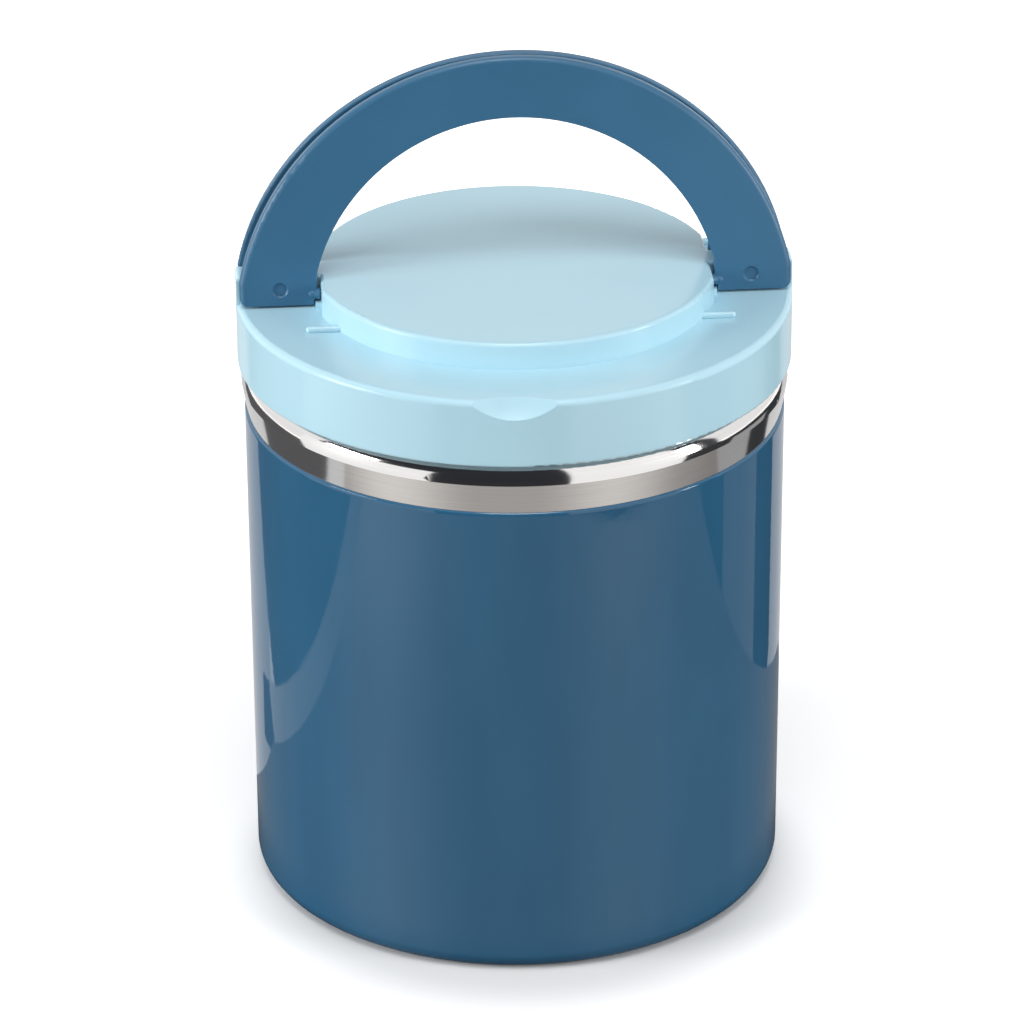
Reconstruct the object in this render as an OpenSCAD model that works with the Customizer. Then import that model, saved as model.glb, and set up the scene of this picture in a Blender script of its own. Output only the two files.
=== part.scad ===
// Stackable lunch box: an insulated pail with a steel pot, a lid with two folding half-ring handles,
// and a stack of two bowls inside. Millimetres, standing on z = 0, front towards -y.

/* [Pail] */
// Outer diameter of the shell at its top edge
shell_d = 135; // [120:1:150]
// How much narrower the shell is at its foot, per side
shell_draft = 0.3; // [0:0.1:1.5]
// Height of the shell
shell_h = 127; // [105:1:160]
// Wall of the shell
shell_wall = 2.6; // [2:0.1:3.4]
// Rounding of the shell's foot
foot_round = 8; // [6:0.5:9]
// Rounding of the shell's top edge
lip_round = 0.8; // [0.3:0.1:0.9]
// Diameter of the recess under the base
base_recess_d = 98; // [60:1:110]
// Depth of the recess under the base
base_recess = 0.5; // [0.3:0.1:1.2]

/* [Steel pot and collar] */
// Steel sheet of the pot and the bowls
sheet = 0.8; // [0.6:0.1:1.2]
// Steel sheet of the collar
collar_sheet = 1; // [0.8:0.1:1.2]
// Height of the steel band that shows between the shell and the lid
band_h = 12.7; // [10:0.1:18]
// Height of the band's rolled shoulder that shows below the lid
shoulder_show = 5.2; // [4.8:0.1:5.8]
// How far the band's wall leans out below the shoulder
flare_out = 1.2; // [0:0.1:1.6]
// Step back from the shell's outside to the foot of the band
band_inset = 0.5; // [0.3:0.1:0.8]
// Rounding of the band's rolled shoulder
shoulder_round = 6; // [5:0.1:7]
// How far the collar's neck stands inside the widest part of the band
neck_inset = 4; // [3:0.1:4.4]
// Foam between the pot and the shell
foam_t = 2.2; // [1.5:0.1:4]
// Foam under the pot
foam_floor = 3.4; // [2:0.1:6]
// Rounding inside the pot's bottom corner
pot_round = 6; // [4:0.5:10]

/* [Lid] */
// How far the lid stands out beyond the shell, per side
lid_over = 1.5; // [1:0.1:2.5]
// Height of the lid's skirt, from its lower edge to the shelf
skirt_h = 17.1; // [16.5:0.1:20]
// Wall of the skirt
lid_wall = 2.2; // [1.8:0.1:2.6]
// Thickness of the shelf and of the disc's top
lid_t = 2.4; // [2:0.1:3]
// Rounding of the lid's upper edge
lid_round = 1.6; // [1:0.1:2.2]
// Rounding of the lid's lower edge
skirt_round = 0.8; // [0.4:0.1:1]
// Width of the shelf round the raised disc
shelf_w = 18.8; // [17:0.1:22]
// How much lower the shelf lies behind the disc, where fingers reach under the folded handle
rear_drop = 8.4; // [6:0.1:8.6]
// Distance of the step down to that lower shelf from the middle of the lid
rear_y = 26; // [25.5:0.1:32]
// Rounding of the step's edges
step_round = 1.2; // [0.5:0.1:1.6]
// Height of the raised disc above the shelf
disc_h = 6.8; // [6.4:0.1:9]
// Wall round the raised disc
disc_wall = 5.6; // [5.2:0.1:7]
// Rounding of the disc's top edge
disc_round = 1; // [0.8:0.1:2]
// How far the flats beside the hinges lie inside the disc's edge
flat_in = 2; // [1.4:0.1:2.6]
// Rounding of the long edges of the bars between the handles
bar_round = 1; // [0.5:0.1:1.5]
// Angle of the thumb scoop from the front towards the left, seen from above
scoop_turn = 4.4; // [0:0.1:8]
// Radius of the ball that scoops out the thumb recess
scoop_r = 31.2; // [28:0.2:34]
// Height of the ball's centre above the shelf
scoop_up = 16.5; // [15.5:0.1:18]
// Distance of the ball's centre outside the lid
scoop_out = 23; // [22:0.1:25]
// Distance of the shelf ribs from the middle of the lid
rib_y = 23; // [20:0.2:26]
// Thickness of a shelf rib
rib_w = 1.8; // [1:0.1:2.2]
// Height of a shelf rib's axis above the shelf
rib_up = 0.6; // [0.3:0.1:0.8]
// How far a shelf rib reaches out past the disc's widest line
rib_l = 2.5; // [1:0.1:6]

/* [Lid inside] */
// Thickness of the liner's flange, plug wall and panel
liner_t = 1.8; // [1.4:0.1:2.4]
// How far the liner's plug reaches below its flange
plug_h = 8; // [6:0.5:12]
// Width of the flange beyond the plug
flange_w = 3.5; // [3:0.1:4]
// Height of the silicone ring
seal_h = 2.2; // [1.8:0.1:2.6]
// Radial width of the silicone ring
seal_w = 2.9; // [2:0.1:3.2]

/* [Handles] */
// Thickness of a handle
handle_t = 3; // [2.6:0.1:3.4]
// Gap between the tops of the two raised handles
handle_gap = 0.5; // [0.4:0.1:1]
// Length of a handle from its axle to its top
handle_l = 58.8; // [52:0.1:64]
// How far a handle's foot stays inside the lid's edge
rim_gap = 0.8; // [0.6:0.1:1.5]
// How much wider the radius of a handle's bow is than half its width
bow_over = 1.4; // [1:0.1:6]
// Rounding of a handle's edges on the side that shows when it is raised
grip_round = 1.3; // [0.6:0.1:1.5]
// Rounding of a handle's edges on the side where the two meet
mate_round = 0.5; // [0.3:0.1:0.8]
// Rounding of a foot's lower outer corner
foot_corner = 2.4; // [0.5:0.1:2.5]
// Depth of a foot below its axle
foot_drop = 2.8; // [2.5:0.1:3]
// Gap under a foot when the handle is raised
foot_gap = 0.5; // [0.4:0.1:1]
// Gap between the folded handle and the raised disc
disc_gap = 0.35; // [0.3:0.05:1]
// Gap between a leg and the disc's flat
leg_gap = 0.8; // [0.5:0.1:1.2]
// Diameter of the round dimple in a foot
dimple_d = 3.2; // [2.8:0.1:4]
// Depth of the dimple
dimple_depth = 0.6; // [0.4:0.1:0.8]
// Width of the bevel round the dimple
dimple_lip = 0.4; // [0.1:0.1:0.5]
// Distance of the dimple from the outer side of the foot
dimple_in = 10; // [8:0.1:12]
// Height of the dimple above the axle
dimple_up = 1.3; // [1:0.1:4]

/* [Hinge] */
// Distance of an axle from the middle of the lid
pivot_y = 7.1; // [6.6:0.1:8]
// Depth of the axle's line behind the face of the handle
axle_in = 0.7; // [0.5:0.1:1]
// Diameter of the axle stubs beside the disc
stub_d = 2.2; // [2:0.1:2.4]
// How far a stub runs into the wall of the disc
stub_in = 2.2; // [1.6:0.1:2.4]
// How far a stub lies along the face of the handle
stub_out = 1.4; // [1:0.1:3]
// Diameter of a stub's flared end beside the disc
stub_flare_d = 3.2; // [2.8:0.1:3.3]
// Length of the flare
stub_flare = 1.5; // [1:0.1:2]
// How far the post under a stub stands out past the handle's opening
post_out = 0.6; // [0.2:0.1:1]
// Width of the post
post_w = 4; // [3:0.1:5]

/* [Bowls] */
// Height of the lower bowl
lower_bowl_h = 66; // [50:1:70]
// Gap between the stack of bowls and the lid above it
stack_gap = 0.6; // [0.4:0.1:2]
// Gap between the pot and the rims of the bowls
bowl_gap = 2.4; // [1.5:0.1:4]
// Diameter of the bead round a bowl's rim
bowl_bead = 2.4; // [2:0.1:3]
// Depth of the step that nests a bowl in the rim below it
bowl_step = 2.4; // [1.5:0.1:4]
// Rounding of a bowl's bottom corner
bowl_round = 5; // [3:0.5:8]
// Thickness of the bowl lid
bowl_lid_t = 2; // [1.6:0.1:2.4]
// Depth of the bowl lid's plug
bowl_plug_h = 6; // [5:0.5:8]
// Height of the bowl lid's ring
bowl_seal_h = 2.8; // [2:0.1:3]
// Depth of the ring's groove
bowl_groove = 1.4; // [1:0.1:1.6]
// Length of the bowl lid's grip
grip_l = 36; // [24:1:50]
// Width of the bowl lid's grip
grip_w = 7; // [5:0.5:10]
// Height of the bowl lid's grip
grip_h = 4.5; // [3:0.1:5]

/* [Fits] */
// Gap between pieces that come apart or move past each other
clear = 0.3; // [0.25:0.05:0.4]
// Radial running fit of the axle stubs
run_fit = 0.05; // [0.02:0.01:0.09]
// Gap between the lid's plug and the pot's mouth
plug_gap = 0.6; // [0.4:0.1:1]

/* [Hidden] */
$fn = 96;
far = 200;

// Shell, foam and pot, from the outside in
shell_r = shell_d / 2;
base_r = shell_r - shell_draft;
foam_r = base_r - shell_wall - clear;
pot_r = foam_r - foam_t - clear;
pot_in = pot_r - sheet;
pot_z = shell_wall + foam_floor;

// Collar, from the shell's top edge up to the pot's mouth
band_r = shell_r - band_inset;
wide_r = band_r + flare_out;
neck_r = wide_r - neck_inset;
shoulder_z = shell_h + band_h - shoulder_show;
neck_z = shoulder_z + sqrt(pow(shoulder_round, 2) - pow(shoulder_round - neck_inset, 2));

// Lid, from its lower edge up
lid_r = shell_r + lid_over;
skirt_z = shell_h + band_h;
shelf_z = skirt_z + skirt_h;
rear_z = shelf_z - rear_drop;
disc_r = lid_r - shelf_w;
disc_z = shelf_z + disc_h;
flat_x = disc_r - flat_in;
flange_z = rear_z - lid_t - liner_t;
mouth_z = flange_z - seal_h;
plug_r = pot_in - plug_gap;
flange_r = plug_r + flange_w;
panel_z = flange_z - plug_h;
pad_r = max(flange_r, neck_r + clear) + clear;

// Hinge and handles: the axle lies just behind the face, and the raised handles lean on each other
pivot_z = shelf_z + foot_gap + foot_drop;
back_y = handle_t - axle_in;
lean = asin((pivot_y - handle_gap / 2 - back_y) / handle_l);
half_w = lid_r - rim_gap;
bow_r = half_w + bow_over;
opening_r = disc_r + disc_gap;
leg_x = flat_x + leg_gap;
dimple_x = half_w - dimple_in;
post_x = leg_x + post_out;
post_h = foot_gap + foot_drop - stub_flare_d / 2 - clear;
bar_half = pivot_y - foot_drop - clear;
rib_start = sqrt(pow(disc_r - disc_wall / 2, 2) - pow(rib_y, 2));
rib_end = disc_r + rib_l - rib_w / 2;

// Bowls, stacked from the pot's floor
floor_z = pot_z + sheet;
rim_r = pot_in - bowl_gap;
bowl_r = rim_r - bowl_bead + sheet;
bowl_in = bowl_r - sheet;
bowl_foot_r = bowl_in - clear;
lower_rim_z = floor_z + lower_bowl_h;
upper_z = lower_rim_z - bowl_step;
upper_rim_z = panel_z - stack_gap - grip_h - bowl_lid_t;
bowl_plug_r = bowl_in - 2 * clear;
bowl_seal_z = upper_rim_z - bowl_plug_h / 2 - bowl_seal_h / 2;

// Half section of a round cup: straight wall, flat floor, rounded corner
module cup_section(r, h, corner) {
  square([r - corner, h]);
  translate([0, corner]) square([r, h - corner]);
  translate([r - corner, corner]) circle(corner);
}

module shell_outside() {
  square([base_r - foot_round, shell_h]);
  translate([base_r - foot_round, foot_round]) circle(foot_round);
  polygon([[0, foot_round], [base_r, foot_round], [shell_r, shell_h - lip_round], [0, shell_h - lip_round]]);
  square([shell_r - lip_round, shell_h]);
  translate([shell_r - lip_round, shell_h - lip_round]) circle(lip_round);
}

module outer_shell() {
  color("steelblue") rotate_extrude() intersection() {
    difference() {
      shell_outside();
      translate([0, shell_wall]) cup_section(base_r - shell_wall, far, foot_round - shell_wall);
      square([base_recess_d / 2, base_recess]);
    }
    square([far, far]);
  }
}

module insulation_sleeve() {
  color("ivory") rotate_extrude() difference() {
    translate([0, shell_wall]) cup_section(foam_r, shell_h - shell_wall - clear, foot_round - shell_wall);
    translate([0, pot_z]) square([pot_r + clear, far]);
  }
}

// Deep-drawn pot, its mouth folded flat over the collar's neck
module inner_pot() {
  color("silver") rotate_extrude() difference() {
    union() {
      translate([0, pot_z]) cup_section(pot_r, mouth_z - pot_z, pot_round + sheet);
      translate([0, mouth_z - sheet]) square([neck_r + clear, sheet]);
    }
    translate([0, floor_z]) cup_section(pot_in, far, pot_round);
  }
}

// Spun ring: flared band, shoulder rolled inwards under the lid, neck up to the mouth
module collar_ring() {
  color("gainsboro") rotate_extrude() union() {
    polygon([[band_r - collar_sheet, shell_h], [band_r, shell_h],
      [wide_r, shoulder_z], [wide_r - collar_sheet, shoulder_z]]);
    intersection() {
      translate([wide_r - shoulder_round, shoulder_z]) difference() {
        circle(shoulder_round);
        circle(shoulder_round - collar_sheet);
      }
      translate([neck_r - collar_sheet, shoulder_z]) square([far, far]);
    }
    translate([neck_r - collar_sheet, neck_z - collar_sheet])
      square([collar_sheet, mouth_z - sheet - neck_z + collar_sheet]);
  }
}

// Bowl with a stepped foot that nests in the rim below, and a beaded rim
module bowl(z, h) {
  rotate_extrude() translate([0, z]) difference() {
    union() {
      cup_section(bowl_foot_r, h, bowl_step);
      translate([0, bowl_step]) square([bowl_r, h - bowl_step - bowl_bead / 2]);
      translate([rim_r - bowl_bead / 2, h - bowl_bead / 2]) circle(bowl_bead / 2);
      translate([0, h - bowl_bead / 2]) square([rim_r - bowl_bead / 2, bowl_bead / 2]);
    }
    translate([0, sheet]) cup_section(bowl_foot_r - sheet, far, bowl_round);
    translate([0, bowl_step + sheet]) square([bowl_in, far]);
  }
}

module lower_bowl() {
  color("lightgray") bowl(floor_z, lower_bowl_h);
}

module upper_bowl() {
  color("whitesmoke") bowl(upper_z, upper_rim_z - upper_z);
}

// Bowl lid: plate on the rim, hollow plug with a groove for its ring, grip bar on top
module bowl_lid() {
  color("aliceblue") union() {
    rotate_extrude() difference() {
      translate([0, upper_rim_z - bowl_plug_h]) union() {
        square([bowl_plug_r, bowl_plug_h + bowl_lid_t]);
        translate([0, bowl_plug_h]) square([rim_r, bowl_lid_t]);
      }
      translate([0, upper_rim_z - far]) square([bowl_plug_r - bowl_groove - bowl_lid_t, far]);
      translate([bowl_plug_r - bowl_groove, bowl_seal_z]) square([far, bowl_seal_h]);
    }
    translate([0, 0, upper_rim_z + bowl_lid_t]) linear_extrude(grip_h) union() {
      square([grip_l - grip_w, grip_w], center = true);
      for (side = [-1, 1])
        translate([side * (grip_l - grip_w) / 2, 0]) circle(grip_w / 2);
    }
  }
}

module bowl_seal() {
  color("salmon") rotate_extrude() translate([bowl_plug_r - bowl_groove, bowl_seal_z])
    square([bowl_groove + clear, bowl_seal_h]);
}

// Half section of the lid's cover up to a shelf: skirt and shelf, still solid
module cover_section(top) {
  translate([0, skirt_z + skirt_round]) square([lid_r, top - skirt_z - skirt_round - lid_round]);
  square_to(lid_r - skirt_round, top - lid_round);
  translate([lid_r - skirt_round, skirt_z + skirt_round]) circle(skirt_round);
  square_to(lid_r - lid_round, top);
  translate([lid_r - lid_round, top - lid_round]) circle(lid_round);
}

// Side view of the space that the upper shelf takes, back to the rounded step behind the disc
module step_section() {
  translate([-far, skirt_z]) square([far + rear_y - step_round, far]);
  translate([-far, skirt_z]) square([far + rear_y, shelf_z - step_round - skirt_z]);
  translate([rear_y - step_round, shelf_z - step_round]) circle(step_round);
  translate([rear_y, rear_z]) difference() {
    square(step_round);
    translate([step_round, step_round]) circle(step_round);
  }
}

// Skirt with the lower shelf all round, and the upper shelf on it as far as the step
module skirt_and_shelves() {
  rotate_extrude() cover_section(rear_z);
  intersection() {
    rotate_extrude() cover_section(shelf_z);
    rotate([90, 0, 90]) linear_extrude(far, center = true) step_section();
  }
}

// Hollow of the lid, under both shelves and inside the disc
module lid_hollow() {
  rotate_extrude() union() {
    square_to(lid_r - lid_wall, rear_z - lid_t);
    square_to(disc_r - disc_wall, disc_z - lid_t);
  }
  intersection() {
    rotate_extrude() square_to(lid_r - lid_wall, shelf_z - lid_t);
    translate([-far, -far, 0]) cube([2 * far, far + rear_y - lid_wall, far]);
  }
}

// Rectangle from the lid's lower edge up to a height
module square_to(r, z) {
  translate([0, skirt_z]) square([r, z - skirt_z]);
}

// Block from inside the lower shelf up to the disc's top, with a rounded upper edge on each side
module rounded_block(reach, corner) {
  translate([-reach, rear_z - lid_round]) square([2 * reach, disc_z - corner - rear_z + lid_round]);
  translate([corner - reach, rear_z - lid_round]) square([2 * (reach - corner), disc_z - rear_z + lid_round]);
  for (side = [-1, 1])
    translate([side * (reach - corner), disc_z - corner]) circle(corner);
}

// Turned form of a rounded block
module rounded_drum(reach, corner) {
  rotate_extrude() intersection() {
    rounded_block(reach, corner);
    square([far, far]);
  }
}

// Raised disc with a flat on each side for the hinges
module raised_disc() {
  intersection() {
    rounded_drum(disc_r, disc_round);
    rotate([90, 0, 0]) linear_extrude(far, center = true) rounded_block(flat_x, disc_round);
  }
}

// Bar from the disc out to the rim on each side, between the feet of the handles
module hinge_bars() {
  intersection() {
    rounded_drum(lid_r, disc_round);
    rotate([90, 0, 90]) linear_extrude(far, center = true) rounded_block(bar_half, bar_round);
  }
}

// Rib under the folded handle, on the +x side of the front half
module shelf_rib() {
  translate([0, -rib_y, shelf_z + rib_up]) {
    translate([rib_start, 0, 0]) rotate([0, 90, 0]) cylinder(d = rib_w, h = rib_end - rib_start);
    translate([rib_end, 0, 0]) sphere(d = rib_w);
  }
}

// Post beside the disc, under the flare of an axle stub
module stub_post() {
  translate([flat_x - flat_in, -pivot_y - post_w / 2, shelf_z])
    cube([post_x - flat_x + flat_in, post_w, post_h]);
}

module lid_cover() {
  color("lightblue") difference() {
    union() {
      difference() {
        union() {
          skirt_and_shelves();
          raised_disc();
          hinge_bars();
          for (side = [0, 1], half = [0, 1]) mirror([side, 0, 0]) mirror([0, half, 0]) {
            shelf_rib();
            stub_post();
          }
        }
        lid_hollow();
      }
      rotate([0, 0, -scoop_turn]) scoop_pad();
    }
    rotate([0, 0, -scoop_turn]) translate([0, -lid_r - scoop_out, shelf_z + scoop_up]) sphere(scoop_r);
    for (side = [0, 1], half = [0, 1]) mirror([side, 0, 0]) mirror([0, half, 0])
      translate([flat_x - stub_in - clear, -pivot_y, pivot_z])
        rotate([0, 90, 0]) cylinder(r = stub_d / 2 + run_fit, h = stub_in + clear + 1);
  }
}

// Pad behind the thumb scoop, so that the scoop leaves a full wall
module scoop_pad() {
  intersection() {
    rotate_extrude() translate([pad_r, mouth_z + clear])
      square([lid_r - lid_wall / 2 - pad_r, shelf_z - lid_t / 2 - mouth_z - clear]);
    translate([-scoop_r / 2, -lid_r, 0]) cube([scoop_r, lid_r, far]);
  }
}

// Inner panel of the lid: flange under the shelf, plug wall into the pot's mouth
module lid_liner() {
  color("white") rotate_extrude() difference() {
    union() {
      translate([0, panel_z]) square([plug_r, flange_z + liner_t - panel_z]);
      translate([0, flange_z]) square([flange_r, liner_t]);
    }
    translate([0, panel_z + liner_t]) square([plug_r - liner_t, far]);
  }
}

module lid_insulation() {
  color("ivory") rotate_extrude() union() {
    translate([0, panel_z + liner_t])
      square([plug_r - liner_t - clear, rear_z - lid_t - clear - panel_z - liner_t]);
    translate([0, panel_z + liner_t])
      square([disc_r - disc_wall - clear, disc_z - lid_t - clear - panel_z - liner_t]);
  }
}

module lid_seal() {
  color("salmon") rotate_extrude() translate([plug_r + clear, mouth_z]) square([seal_w, seal_h]);
}

// Section through a handle: x along its width, y through its thickness, from the axle's line
module handle_section(reach) {
  translate([grip_round - reach, -axle_in]) square([2 * (reach - grip_round), handle_t]);
  translate([-reach, grip_round - axle_in]) square([2 * reach, handle_t - grip_round - mate_round]);
  translate([mate_round - reach, grip_round - axle_in])
    square([2 * (reach - mate_round), handle_t - grip_round]);
  for (side = [-1, 1]) {
    translate([side * (reach - grip_round), grip_round - axle_in]) circle(grip_round);
    translate([side * (reach - mate_round), back_y - mate_round]) circle(mate_round);
  }
}

// Outer form of the front handle: round bow, straight sides, heel turned about the axle
module handle_blank() {
  intersection() {
    translate([0, 0, handle_l - bow_r]) rotate([-90, 0, 0]) rotate_extrude() intersection() {
      handle_section(bow_r);
      translate([0, -far]) square([far, 2 * far]);
    }
    translate([0, 0, -foot_drop]) linear_extrude(far) handle_section(half_w);
    rotate([90, 0, 90]) linear_extrude(far, center = true) union() {
      translate([-axle_in, 0]) square([handle_t, far]);
      circle(foot_drop);
    }
    rotate([90, 0, 0]) linear_extrude(far, center = true) union() {
      translate([-half_w, foot_corner - foot_drop]) square([2 * half_w, far]);
      translate([foot_corner - half_w, -foot_drop]) square([2 * (half_w - foot_corner), far]);
      for (side = [-1, 1])
        translate([side * (half_w - foot_corner), foot_corner - foot_drop]) circle(foot_corner);
    }
  }
}

// Section of what is cut out of a handle, with softened edges
module opening_section(reach) {
  difference() {
    translate([0, -far]) square([reach + mate_round, 2 * far]);
    translate([reach + mate_round, mate_round - axle_in]) circle(mate_round);
    translate([reach + mate_round, back_y - mate_round]) circle(mate_round);
    translate([reach, mate_round - axle_in]) square([far, handle_t - 2 * mate_round]);
  }
}

// Opening of a handle: an arch that lies round the folded disc, with straight sides beside its flats
module handle_opening() {
  intersection() {
    translate([0, 0, -pivot_y]) rotate([-90, 0, 0]) rotate_extrude() opening_section(opening_r);
    linear_extrude(2 * far, center = true) for (side = [0, 1])
      mirror([side, 0, 0]) opening_section(leg_x);
  }
  // Notches in the feet, round the posts
  translate([-post_x - clear, -far / 2, -far - stub_d / 2]) cube([2 * (post_x + clear), far, far]);
}

// Axle stub on the +x side, flared towards the disc and round at its end
module axle() {
  rotate([0, 90, 0]) {
    translate([0, 0, flat_x - stub_in]) cylinder(d = stub_d, h = stub_in + leg_x - flat_x + stub_out);
    translate([0, 0, leg_x + stub_out]) sphere(d = stub_d);
    translate([0, 0, flat_x + clear]) cylinder(d1 = stub_flare_d, d2 = stub_d - 2 * run_fit, h = stub_flare);
  }
}

// Round dimple with a bevelled edge, sunk along -z
module dimple() {
  cylinder(d = dimple_d, h = 2 * dimple_depth, center = true);
  cylinder(d1 = dimple_d, d2 = dimple_d + 4 * dimple_lip, h = 2 * dimple_lip, center = true);
}

module handle() {
  translate([0, -pivot_y, pivot_z]) rotate([-lean, 0, 0]) {
    difference() {
      handle_blank();
      handle_opening();
      for (side = [-1, 1]) translate([side * dimple_x, -axle_in, dimple_up]) rotate([90, 0, 0]) dimple();
    }
    for (side = [0, 1]) mirror([side, 0, 0]) axle();
  }
}

module front_handle() {
  color("cadetblue") handle();
}

module rear_handle() {
  color("slategray") mirror([0, 1, 0]) handle();
}

outer_shell();
insulation_sleeve();
inner_pot();
collar_ring();
lower_bowl();
upper_bowl();
bowl_lid();
bowl_seal();
lid_cover();
lid_liner();
lid_insulation();
lid_seal();
front_handle();
rear_handle();
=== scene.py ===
import math

import bmesh
import bpy
from mathutils import Matrix, Vector


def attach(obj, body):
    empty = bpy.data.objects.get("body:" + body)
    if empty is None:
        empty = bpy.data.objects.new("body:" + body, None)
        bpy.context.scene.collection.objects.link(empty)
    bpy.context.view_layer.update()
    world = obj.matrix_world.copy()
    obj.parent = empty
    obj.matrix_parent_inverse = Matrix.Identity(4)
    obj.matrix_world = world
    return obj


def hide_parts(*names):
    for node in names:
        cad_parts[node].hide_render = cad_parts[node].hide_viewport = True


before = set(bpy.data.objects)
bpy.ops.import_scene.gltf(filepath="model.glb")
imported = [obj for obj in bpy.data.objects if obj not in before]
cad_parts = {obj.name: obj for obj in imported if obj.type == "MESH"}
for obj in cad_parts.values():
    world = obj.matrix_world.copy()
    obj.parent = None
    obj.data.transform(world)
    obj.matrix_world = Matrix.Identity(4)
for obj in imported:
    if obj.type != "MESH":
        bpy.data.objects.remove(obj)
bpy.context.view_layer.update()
print("lunch box: frame loaded,", len(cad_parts), "CAD nodes")


# camera: standing a little left of the front, looking down on the lid

cameraView = {
    "aim": (0, 0, 0.127),        # centre of the shell's top edge
    "aimPixel": (514.6, 396.3),  # where that point lands in the frame
    "frame": 1024,
    "focalPixels": 5390,
    "sensor": 36,
    "clip": (0.05, 30),
    "distance": 1.35,
    "elevation": 24.6,
    "azimuth": -4.4,
    "roll": -0.3,
}


def makeCamera(view):
    az, el = math.radians(view["azimuth"]), math.radians(view["elevation"])
    back = Vector((math.sin(az) * math.cos(el), -math.cos(az) * math.cos(el), math.sin(el)))
    right = Vector((0, 0, 1)).cross(back).normalized()
    up = back.cross(right)
    facing = Matrix((right, up, back)).transposed()
    half, focal = view["frame"] / 2, view["focalPixels"]
    px, py = view["aimPixel"]
    seen = Vector(((px - half) / focal, (half - py) / focal, -1)).normalized()
    swing = seen.rotation_difference(Vector((0, 0, -1))).to_matrix()
    turn = facing @ Matrix.Rotation(math.radians(view["roll"]), 3, "Z") @ swing
    data = bpy.data.cameras.new("camera")
    data.sensor_width = view["sensor"]
    data.lens = focal / view["frame"] * view["sensor"]
    data.clip_start, data.clip_end = view["clip"]
    camera = bpy.data.objects.new("camera", data)
    stand = Vector(view["aim"]) + back * view["distance"]
    camera.matrix_world = Matrix.Translation(stand) @ turn.to_4x4()
    bpy.context.scene.collection.objects.link(camera)
    bpy.context.scene.camera = camera


makeCamera(cameraView)
bpy.context.scene.view_settings.view_transform = "Standard"
print("lunch box: camera set")


# shader maths: a wire carries one socket, so finishes read as plain sums

class Wire:
    def __init__(self, tree, socket):
        self.tree, self.socket = tree, socket

    def maths(self, operation, first, second=None):
        node = self.tree.nodes.new("ShaderNodeMath")
        node.operation = operation
        for plug, value in zip(node.inputs, (first, second)):
            join(self.tree, plug, value)
        return Wire(self.tree, node.outputs[0])

    def __add__(self, other):
        return self.maths("ADD", self, other)

    def __radd__(self, other):
        return self.maths("ADD", other, self)

    def __sub__(self, other):
        return self.maths("SUBTRACT", self, other)

    def __rsub__(self, other):
        return self.maths("SUBTRACT", other, self)

    def __mul__(self, other):
        return self.maths("MULTIPLY", self, other)

    def __rmul__(self, other):
        return self.maths("MULTIPLY", other, self)

    def __truediv__(self, other):
        return self.maths("DIVIDE", self, other)

    def __rtruediv__(self, other):
        return self.maths("DIVIDE", other, self)

    def __pow__(self, other):
        return self.maths("POWER", self, other)

    def __abs__(self):
        return self.maths("ABSOLUTE", self)


def join(tree, plug, value):
    if isinstance(value, Wire):
        tree.links.new(value.socket, plug)
    elif value is not None:
        if hasattr(plug.default_value, "__len__") and len(value) == 3 and len(plug.default_value) == 4:
            value = (*value, 1)
        plug.default_value = value


class Finish:
    def __init__(self, name, tree=None):
        if tree is None:
            self.material = bpy.data.materials.new(name)
            self.material.use_nodes = True
            tree = self.material.node_tree
        self.tree = tree
        tree.nodes.clear()

    def node(self, kind, settings, values, out=0):
        node = self.tree.nodes.new(kind)
        for name, value in settings.items():
            setattr(node, name, value)
        for name, value in values.items():
            join(self.tree, node.inputs[name], value)
        return Wire(self.tree, node.outputs[out])

    def place(self):
        return self.node("ShaderNodeTexCoord", {}, {}, "Object")

    def axes(self, place):
        return [self.node("ShaderNodeSeparateXYZ", {}, {"Vector": place}, i) for i in range(3)]

    def vector(self, x, y, z):
        return self.node("ShaderNodeCombineXYZ", {}, {"X": x, "Y": y, "Z": z})

    def roundAbout(self, place):
        # distance from the axis, angle round it, height
        x, y, z = self.axes(place)
        return (x * x + y * y) ** 0.5, y.maths("ARCTAN2", y, x), z

    def noise(self, place, scale, detail=2, rough=0.5):
        return self.node("ShaderNodeTexNoise", {},
                         {"Vector": place, "Scale": scale, "Detail": detail, "Roughness": rough})

    def ease(self, value, low, high, toLow=0, toHigh=1):
        return self.node("ShaderNodeMapRange", {"interpolation_type": "SMOOTHSTEP"},
                         {"Value": value, "From Min": low, "From Max": high,
                          "To Min": toLow, "To Max": toHigh})

    def blend(self, share, first, second):
        return self.node("ShaderNodeMix", {"data_type": "RGBA"}, {0: share, 6: first, 7: second}, 2)

    def softEdges(self, reach):
        # moulded pieces have no knife edges: shade a small round along each one
        return self.node("ShaderNodeBevel", {"samples": 6}, {"Radius": reach})

    def bump(self, height, strength, distance, under=None):
        return self.node("ShaderNodeBump", {},
                         {"Height": height, "Strength": strength, "Distance": distance, "Normal": under})

    def seen(self):
        # 1 for what the camera sees, straight or through gloss and glass, 0 for light that spreads
        names = ("Is Camera Ray", "Is Glossy Ray", "Is Transmission Ray")
        straight, gloss, glass = [self.node("ShaderNodeLightPath", {}, {}, name) for name in names]
        return straight.maths("MAXIMUM", straight, gloss.maths("MAXIMUM", gloss, glass))

    def surface(self, shader):
        end = self.tree.nodes.new("ShaderNodeOutputMaterial")
        self.tree.links.new(shader.socket, end.inputs["Surface"])
        return self.material

    def principled(self, values):
        return self.surface(self.node("ShaderNodeBsdfPrincipled", {}, values))

    def glowing(self, tint):
        return self.node("ShaderNodeEmission", {}, {"Color": tint, "Strength": 1})


def dress(finish, *nodes):
    for name in nodes:
        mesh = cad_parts[name].data
        mesh.materials.clear()
        mesh.materials.append(finish)


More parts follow.
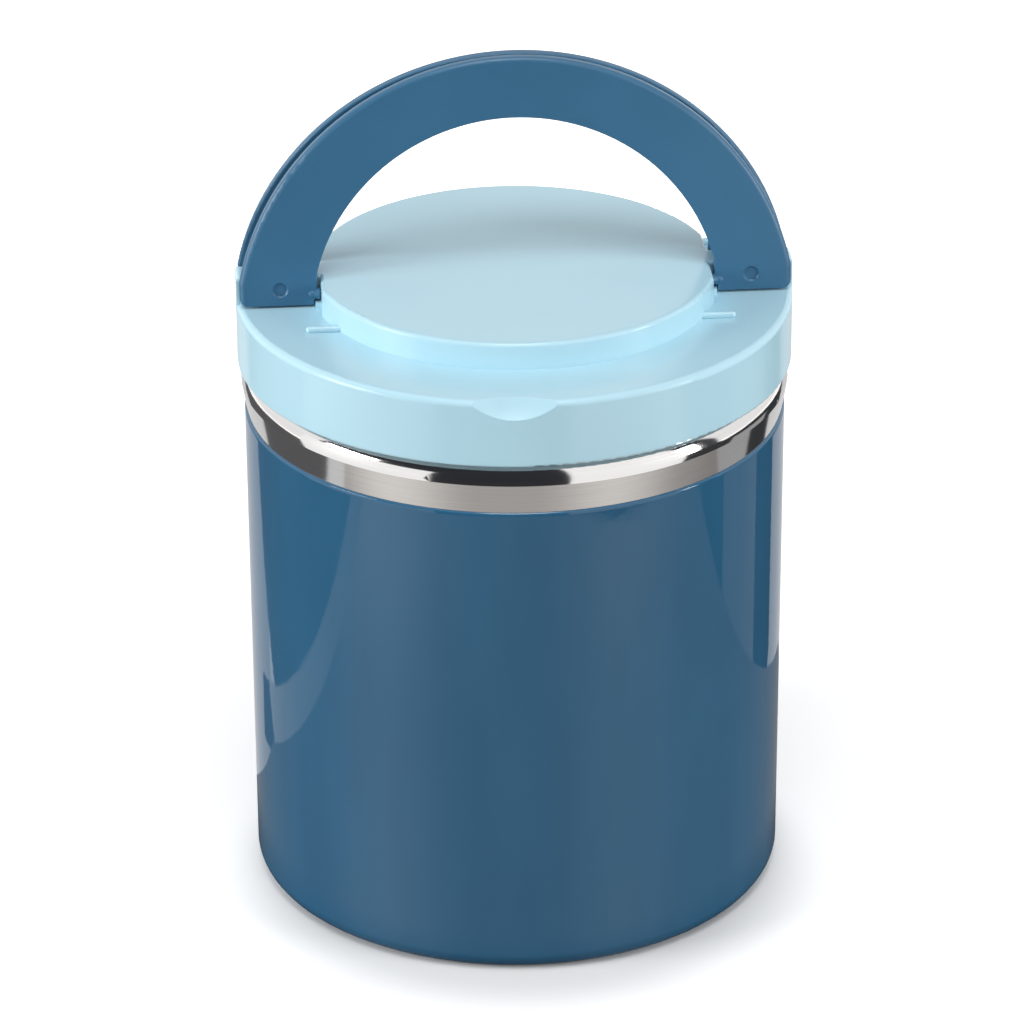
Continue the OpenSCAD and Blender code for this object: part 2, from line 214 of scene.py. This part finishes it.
def settle(name, bm):
    mesh = bpy.data.meshes.new(name)
    bm.to_mesh(mesh)
    bm.free()
    thing = bpy.data.objects.new(name, mesh)
    bpy.context.scene.collection.objects.link(thing)
    return thing


# the pail's shell: its glossy plastic, scuffed at the foot

shellLook = {
    "colour": (0.026, 0.118, 0.224),
    "deep": (0.023, 0.108, 0.208),
    "scuffed": (0.060, 0.165, 0.270),
    "mottle": (0.35, 0.65),
    "clouds": 16,
    "flow": (1.6, 8, 5),           # how fast the flow marks change round, outwards and upwards
    "flowSize": 4,
    "gloss": 0.045,
    "smears": 34,
    "smearRange": (0.42, 0.75),
    "smearDull": 0.035,
    "footWear": 0.0055,            # height up to which the foot is scuffed
    "fullWear": 0.35,              # share of that height that has all of it
    "scratches": (40, 900, 4200),
    "scratchSize": 1.2,
    "scratchRange": (0.60, 0.78),
    "wornShare": 0.55,
    "wornDull": 0.3,
    "peel": 420,
    "peelStrength": 0.05,
    "peelDepth": 0.0002,
}

# half section as the CAD has it, but with the foot rounded right down to the floor
shellShape = {
    "baseRadius": 0.0672,
    "topRadius": 0.0675,
    "height": 0.127,
    "wall": 0.0026,
    "recess": (0.049, 0.0005),     # radius and depth of the hollow under the base
    "footRound": 0.0045,
    "lipRound": 0.0008,
    "wellRound": 0.0054,           # inside, where wall and floor meet
    "roundSteps": (14, 8, 8),      # of these three rounds
    "hold": 0.0004,                # extra rings that keep the wall's shading straight
    "steps": 192,
    "weld": 0.000001,
    "crease": 35,
}


def shellPlastic(look):
    f = Finish("shellPlastic")
    place = f.place()
    radius, angle, z = f.roundAbout(place)

    def along(speeds):
        return f.vector(angle * speeds[0], radius * speeds[1], z * speeds[2])

    cloud = f.noise(place, look["clouds"], 3)
    flow = f.noise(along(look["flow"]), look["flowSize"], 3)
    colour = f.blend(f.ease(cloud * 0.5 + flow * 0.5, *look["mottle"]), look["deep"], look["colour"])
    scratch = f.ease(f.noise(along(look["scratches"]), look["scratchSize"], 3, 0.7), *look["scratchRange"])
    worn = f.ease(z, look["footWear"] * look["fullWear"], look["footWear"], 1, 0) * scratch
    colour = f.blend(worn * look["wornShare"], colour, look["scuffed"])
    smear = f.ease(f.noise(place, look["smears"], 4, 0.6), *look["smearRange"])
    return f.principled({
        "Base Color": colour,
        "Roughness": smear * look["smearDull"] + worn * look["wornDull"] + look["gloss"],
        "IOR": 1.5,
        "Normal": f.bump(f.noise(place, look["peel"]), look["peelStrength"], look["peelDepth"]),
    })


def makeShell(shape, finish):
    base, top, height, wall = shape["baseRadius"], shape["topRadius"], shape["height"], shape["wall"]
    well = base - wall
    flare = (top - base) / height
    low = shape["footRound"] + shape["hold"]
    high = height - shape["lipRound"] - shape["hold"]
    recessRadius, recessDepth = shape["recess"]
    under = [(0, recessDepth), (recessRadius, recessDepth), (recessRadius, 0)]
    outside = [(base, 0), (base + flare * low, low), (base + flare * high, high), (top, height)]
    inside = [(well, height), (well, wall), (0, wall)]
    bm = bmesh.new()
    section = [bm.verts.new((r, 0, z)) for r, z in under + outside + inside]
    for ends in zip(section, section[1:]):
        bm.edges.new(ends)
    corners = (section[3], section[6], section[8])     # foot, lip and well
    reaches = (shape["footRound"], shape["lipRound"], shape["wellRound"])
    for corner, reach, steps in zip(corners, reaches, shape["roundSteps"]):
        bmesh.ops.bevel(bm, geom=[corner], offset=reach, offset_type="OFFSET", affect="VERTICES",
                        segments=steps, profile=0.5, material=-1)
    bmesh.ops.spin(bm, geom=bm.verts[:] + bm.edges[:], cent=(0, 0, 0), axis=(0, 0, 1),
                   angle=math.tau, steps=shape["steps"], use_merge=True, use_duplicate=False)
    bmesh.ops.remove_doubles(bm, verts=bm.verts, dist=shape["weld"])
    bmesh.ops.recalc_face_normals(bm, faces=bm.faces)
    shell = settle("shell_round_foot", bm)
    shell.data.shade_smooth()
    shell.data.set_sharp_from_angle(angle=math.radians(shape["crease"]))
    shell.data.materials.append(finish)
    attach(shell, "pail")
    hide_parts("outer_shell")


# lid and handles: softer moulded plastics

lidLook = {
    "colour": (0.495, 0.755, 0.868),
    "deep": (0.480, 0.742, 0.856),
    "mottle": (0.35, 0.65),
    "clouds": 22,
    "gloss": 0.15,
    "rubs": 60,
    "rubRange": (0.45, 0.8),
    "rubDull": 0.03,
    "grain": 1500,
    "grainDull": 0.02,
    "skin": 380,
    "skinStrength": 0.03,
    "skinDepth": 0.0002,
    "edge": 0.0003,
}

handleLook = {
    "colour": (0.036, 0.140, 0.256),
    "deep": (0.033, 0.131, 0.242),
    "mottle": (0.35, 0.65),
    "clouds": 30,
    "gloss": 0.32,
    "rubs": 45,
    "rubRange": (0.45, 0.8),
    "rubDull": 0.07,
    "grain": 2600,
    "grainDull": 0.05,
    "skin": 2600,
    "skinStrength": 0.12,
    "skinDepth": 0.00008,
    "edge": 0.00025,
}


def mouldedPlastic(name, look):
    f = Finish(name)
    place = f.place()
    cloud = f.noise(place, look["clouds"], 3)
    grain = f.noise(place, look["grain"])
    rub = f.ease(f.noise(place, look["rubs"], 4, 0.65), *look["rubRange"])
    return f.principled({
        "Base Color": f.blend(f.ease(cloud, *look["mottle"]), look["deep"], look["colour"]),
        "Roughness": rub * look["rubDull"] + grain * look["grainDull"] + look["gloss"],
        "IOR": 1.5,
        "Normal": f.bump(f.noise(place, look["skin"]), look["skinStrength"], look["skinDepth"],
                         f.softEdges(look["edge"])),
    })


# steels: a mirror finish on the collar, a turned satin on the pot and bowls

collarLook = {
    "colour": (0.79, 0.775, 0.765),
    "streak": (0.73, 0.715, 0.705),
    "gloss": 0.045,
    "lines": 5200,
    "lineStrength": 0.04,
}

satinLook = {
    "colour": (0.60, 0.595, 0.585),
    "streak": (0.50, 0.495, 0.485),
    "gloss": 0.24,
    "lines": 3800,
    "lineStrength": 0.18,
}

# both come off the same lathe
turning = {
    "round": 2.5,
    "mottle": (0.3, 0.7),
    "lineDull": 0.05,
    "lineDepth": 0.00006,
    "broad": 28,
    "broadDull": 0.03,
}


def turnedSteel(name, look):
    f = Finish(name)
    place = f.place()
    radius, angle, z = f.roundAbout(place)
    across = f.vector(radius * look["lines"], z * look["lines"], angle * turning["round"])
    lines = f.noise(across, 1, 4, 0.65)
    broad = f.noise(place, turning["broad"], 3)
    return f.principled({
        "Base Color": f.blend(f.ease(lines, *turning["mottle"]), look["streak"], look["colour"]),
        "Metallic": 1,
        "Roughness": lines * turning["lineDull"] + broad * turning["broadDull"] + look["gloss"],
        "Normal": f.bump(lines, look["lineStrength"], turning["lineDepth"]),
    })


# inner pieces: milky plastics, silicone and foam

linerLook = {
    "colour": (0.78, 0.80, 0.80),
    "deep": (0.74, 0.765, 0.77),
    "gloss": 0.30,
    "grain": 1800,
    "grainStrength": 0.10,
}

bowlLidLook = {
    "colour": (0.74, 0.80, 0.83),
    "deep": (0.68, 0.75, 0.79),
    "gloss": 0.22,
    "grain": 900,
    "grainStrength": 0.08,
}

sealLook = {
    "colour": (0.70, 0.73, 0.74),
    "deep": (0.64, 0.67, 0.685),
    "gloss": 0.48,
    "grain": 2400,
    "grainStrength": 0.15,
}

milk = {"clouds": 35, "mottle": (0.3, 0.7), "grainDull": 0.10, "grainDepth": 0.0001}

foamLook = {
    "colour": (0.80, 0.765, 0.66),
    "cell": (0.62, 0.585, 0.49),
    "gloss": 0.85,
    "cells": 700,
    "wall": (0.0, 0.12),
    "wallShine": 0.05,
    "cellStrength": 0.35,
    "cellDepth": 0.0003,
}


def milkyPlastic(name, look):
    f = Finish(name)
    place = f.place()
    cloud = f.noise(place, milk["clouds"], 3)
    grain = f.noise(place, look["grain"], 3, 0.6)
    return f.principled({
        "Base Color": f.blend(f.ease(cloud, *milk["mottle"]), look["deep"], look["colour"]),
        "Roughness": grain * milk["grainDull"] + look["gloss"],
        "IOR": 1.46,
        "Normal": f.bump(grain, look["grainStrength"], milk["grainDepth"]),
    })


def foamCells(look):
    f = Finish("foamCells")
    cells = f.node("ShaderNodeTexVoronoi", {"feature": "DISTANCE_TO_EDGE"},
                   {"Vector": f.place(), "Scale": look["cells"]})
    wall = f.ease(cells, *look["wall"])
    return f.principled({
        "Base Color": f.blend(wall, look["cell"], look["colour"]),
        "Roughness": look["gloss"] - wall * look["wallShine"],
        "Normal": f.bump(wall, look["cellStrength"], look["cellDepth"]),
    })


shellFinish = shellPlastic(shellLook)
dress(shellFinish, "outer_shell")
makeShell(shellShape, shellFinish)
dress(mouldedPlastic("lidPlastic", lidLook), "lid_cover")
dress(mouldedPlastic("handlePlastic", handleLook), "front_handle", "rear_handle")
dress(turnedSteel("collarSteel", collarLook), "collar_ring")
dress(turnedSteel("satinSteel", satinLook), "inner_pot", "lower_bowl", "upper_bowl")
dress(milkyPlastic("linerPlastic", linerLook), "lid_liner")
dress(milkyPlastic("bowlLidPlastic", bowlLidLook), "bowl_lid")
dress(milkyPlastic("sealSilicone", sealLook), "lid_seal", "bowl_seal")
dress(foamCells(foamLook), "insulation_sleeve", "lid_insulation")
print("lunch box: finishes on")


# studio: pale floor, three softboxes, and cards that only reflections see

studio = {
    "turn": cameraView["azimuth"],     # cards and screens are laid out facing the camera
    "fill": 0.34,
    "floor": {
        "half": 5,
        "colour": (0.85, 0.85, 0.85),
        "bounce": (0.30, 0.30, 0.30),  # what it throws back on the pail
        "lift": 0.44,                  # the paper glows a little away from the pail; close to it the glow is held back, painted shade round the base
        "liftReach": (0.053, 0.082),
        # painted shade: the glow's centre moves this far forward, so the floor in front of the pail stays
        # darker
        "paintedShadeAhead": 0.018,
        "farLift": 0.55,               # and more far out, where the boxes don't reach
        "farReach": (0.12, 0.60),
    },
    "boxes": [
        # name, place, aim, width, height, watts
        ("topBox", (0.0, -0.47, 1.39), (0, 0, 0.16), 0.5, 0.70, 6),
        ("leftBox", (-1.30, -0.35, 0.42), (0, 0, 0.12), 0.55, 0.7, 14.6),
        ("rightBox", (1.19, -0.635, 0.42), (0, 0, 0.12), 0.55, 0.7, 10.5),
    ],
    "paintedContactShade": (0.062, 0.085, 0.15, 1),     # painted shade: cards are darker where the pail stands, as if in its contact shadow: from, to, levels
    "screenSteps": 36,
}

# what the glossy shell and the steel mirror: cards on the floor round the pail
cards = [
    {"name": "frontDark", "height": 0.00004, "tint": (0.035, 0.035, 0.040),
     "corners": [(-2.2, -2.2), (2.2, -2.2), (2.2, -0.02), (0.30, 0.0), (-0.30, 0.0), (-2.2, -0.02)]},
    {"name": "backPale", "height": 0.00005, "tint": (0.70, 0.70, 0.71),
     "corners": [(-0.12, 0.03), (0.12, 0.03), (0.9, 0.9), (-0.9, 0.9)]},
    {"name": "leftDark", "height": 0.00007, "tint": (0.11, 0.11, 0.115),
     "corners": [(-0.95, -0.75), (-0.31, -0.155), (-0.115, 0.022), (-0.108, 0.045), (-0.130, 0.075),
                 (-0.148, 0.046), (-0.215, 0.172), (-0.60, 0.90), (-1.40, 0.60)]},
    {"name": "rightDark", "height": 0.00007, "tint": (0.04, 0.042, 0.046),
     "corners": [(0.95, -0.45), (1.40, 0.60), (0.62, 0.75), (0.22, 0.194), (0.141, 0.085),
                 (0.125, 0.045), (0.33, -0.12)]},
    {"name": "rightCard", "height": 0.00010, "tint": (0.38, 0.38, 0.39),
     "corners": [(0.165, -0.0235), (0.55, 0.044), (0.50, 0.285), (0.150, 0.033)]},
    # painted reflection patches, lobes: degrees from the front, reach, height; swell: near, far, gain
    {"name": "tableTop", "height": 0.00014, "tint": (1.03, 1.0, 0.97),
     "glow": {"front": 0.42, "back": 0.24, "turn": (60, 112),
              "lobes": [(-58, 42, 0.33), (46, 38, 0.27)], "swell": (0.19, 0.31, 1.8)},
     "corners": [(-0.335, -0.205), (0.0, -0.41), (0.355, -0.115), (0.148, 0.060), (0.095, 0.110),
                 (0.0, 0.05), (-0.10, 0.03), (-0.125, 0.03)]},
    {"name": "tableRim", "height": 0.00018, "tint": (0.66, 0.67, 0.68),
     "corners": [(-0.300, -0.139), (-0.285, -0.161), (-0.1208, 0.0268), (-0.1423, 0.0632),
                 (-0.148, 0.046)]},
]

# the same, standing upright: a dark room in front, a white panel at each side of the table
screens = [
    {"name": "room", "radius": 2.1, "height": 2.6, "from": -88, "to": 88,
     "tint": (0.030, 0.033, 0.040)},
    {"name": "leftPanel", "radius": 0.345, "height": 0.24, "from": -88, "to": -30,
     "tint": (1.12, 1.12, 1.13)},
    {"name": "rightPanel", "radius": 0.345, "height": 0.90, "from": 20, "to": 66,
     "tint": (1.12, 1.12, 1.12)},
]


def makeFloor(look):
    bm = bmesh.new()
    bmesh.ops.create_grid(bm, x_segments=1, y_segments=1, size=look["half"])
    floor = settle("floor", bm)
    f = Finish("floorPaper")
    seen = f.seen()
    lit = f.node("ShaderNodeBsdfDiffuse", {}, {"Color": f.blend(seen, look["bounce"], look["colour"])})
    x, y, z = f.axes(f.place())
    # painted shade: less glow near the pail, and least of all in front of it
    ahead = y + look["paintedShadeAhead"]
    radius = (x * x + ahead * ahead) ** 0.5
    near = f.ease(radius, *look["liftReach"], 0, look["lift"])
    far = f.ease(radius, *look["farReach"], 0, look["farLift"])
    glow = f.glowing(seen * (near + far))
    floor.data.materials.append(f.surface(f.node("ShaderNodeAddShader", {}, {0: lit, 1: glow})))


def onlyMirrored(thing):
    thing.rotation_euler.z = math.radians(studio["turn"])
    thing.visible_camera = thing.visible_diffuse = thing.visible_shadow = False
    thing.visible_transmission = thing.visible_volume_scatter = False


# painted reflection: the table card glows brighter in lobes to each side of the front, which the round
# shell mirrors as brighter patches
def paintedTableReflection(f, place, radius, glow):
    x, y, z = f.axes(place)
    turn = x.maths("ARCTAN2", x, y * -1) * math.degrees(1)         # degrees from the front, right is plus
    turn = turn * 2 / (2 - shellShape["topRadius"] / radius)       # as the round shell throws it
    shine = f.ease(abs(turn), *glow["turn"], glow["front"], glow["back"])
    near, far, gain = glow["swell"]
    swell = f.ease(radius, near, far, 1, gain)
    for middle, reach, height in glow["lobes"]:
        shine = shine + f.ease(abs(turn - middle), 0, reach, height, 0) * swell
    return shine


def makeCard(look):
    bm = bmesh.new()
    bm.faces.new([bm.verts.new((x, y, look["height"])) for x, y in look["corners"]])
    bmesh.ops.recalc_face_normals(bm, faces=bm.faces)
    card = settle(look["name"], bm)
    f = Finish(look["name"])
    place = f.place()
    radius = f.roundAbout(place)[0]
    # painted shade: the cards dim towards the pail's foot
    level = f.ease(radius, *studio["paintedContactShade"])
    if "glow" in look:
        level = level * paintedTableReflection(f, place, radius, look["glow"])
    tint = f.node("ShaderNodeVectorMath", {"operation": "SCALE"}, {"Vector": look["tint"], "Scale": level})
    card.data.materials.append(f.surface(f.glowing(tint)))
    onlyMirrored(card)


def makeScreen(look):
    bm = bmesh.new()
    start = math.radians(look["from"])
    foot = Vector((math.sin(start), -math.cos(start), 0)) * look["radius"]
    head = foot + Vector((0, 0, look["height"]))
    edge = bm.edges.new((bm.verts.new(foot), bm.verts.new(head)))
    bmesh.ops.spin(bm, geom=[edge, *edge.verts], cent=(0, 0, 0), axis=(0, 0, 1),
                   steps=studio["screenSteps"], angle=math.radians(look["to"] - look["from"]),
                   use_duplicate=False)
    screen = settle(look["name"], bm)
    f = Finish(look["name"])
    screen.data.materials.append(f.surface(f.glowing(look["tint"])))
    onlyMirrored(screen)


def makeBox(name, place, aim, width, height, watts):
    data = bpy.data.lights.new(name, "AREA")
    data.shape = "RECTANGLE"
    data.size, data.size_y, data.energy = width, height, watts
    box = bpy.data.objects.new(name, data)
    box.location = place
    box.rotation_euler = (Vector(aim) - Vector(place)).to_track_quat("-Z", "Y").to_euler()
    bpy.context.scene.collection.objects.link(box)


def makeWorld(fill):
    world = bpy.data.worlds.new("studioWorld")
    world.use_nodes = True
    bpy.context.scene.world = world
    f = Finish("world", world.node_tree)
    soft = f.node("ShaderNodeBackground", {}, {"Color": (1, 1, 1), "Strength": fill})
    white = f.node("ShaderNodeBackground", {}, {"Color": (1, 1, 1), "Strength": 1})
    mixed = f.node("ShaderNodeMixShader", {}, {0: f.seen(), 1: soft, 2: white})
    end = f.tree.nodes.new("ShaderNodeOutputWorld")
    f.tree.links.new(mixed.socket, end.inputs["Surface"])


makeFloor(studio["floor"])
for card in cards:
    makeCard(card)
for screen in screens:
    makeScreen(screen)
for box in studio["boxes"]:
    makeBox(*box)
makeWorld(studio["fill"])
print("lunch box: studio lit")
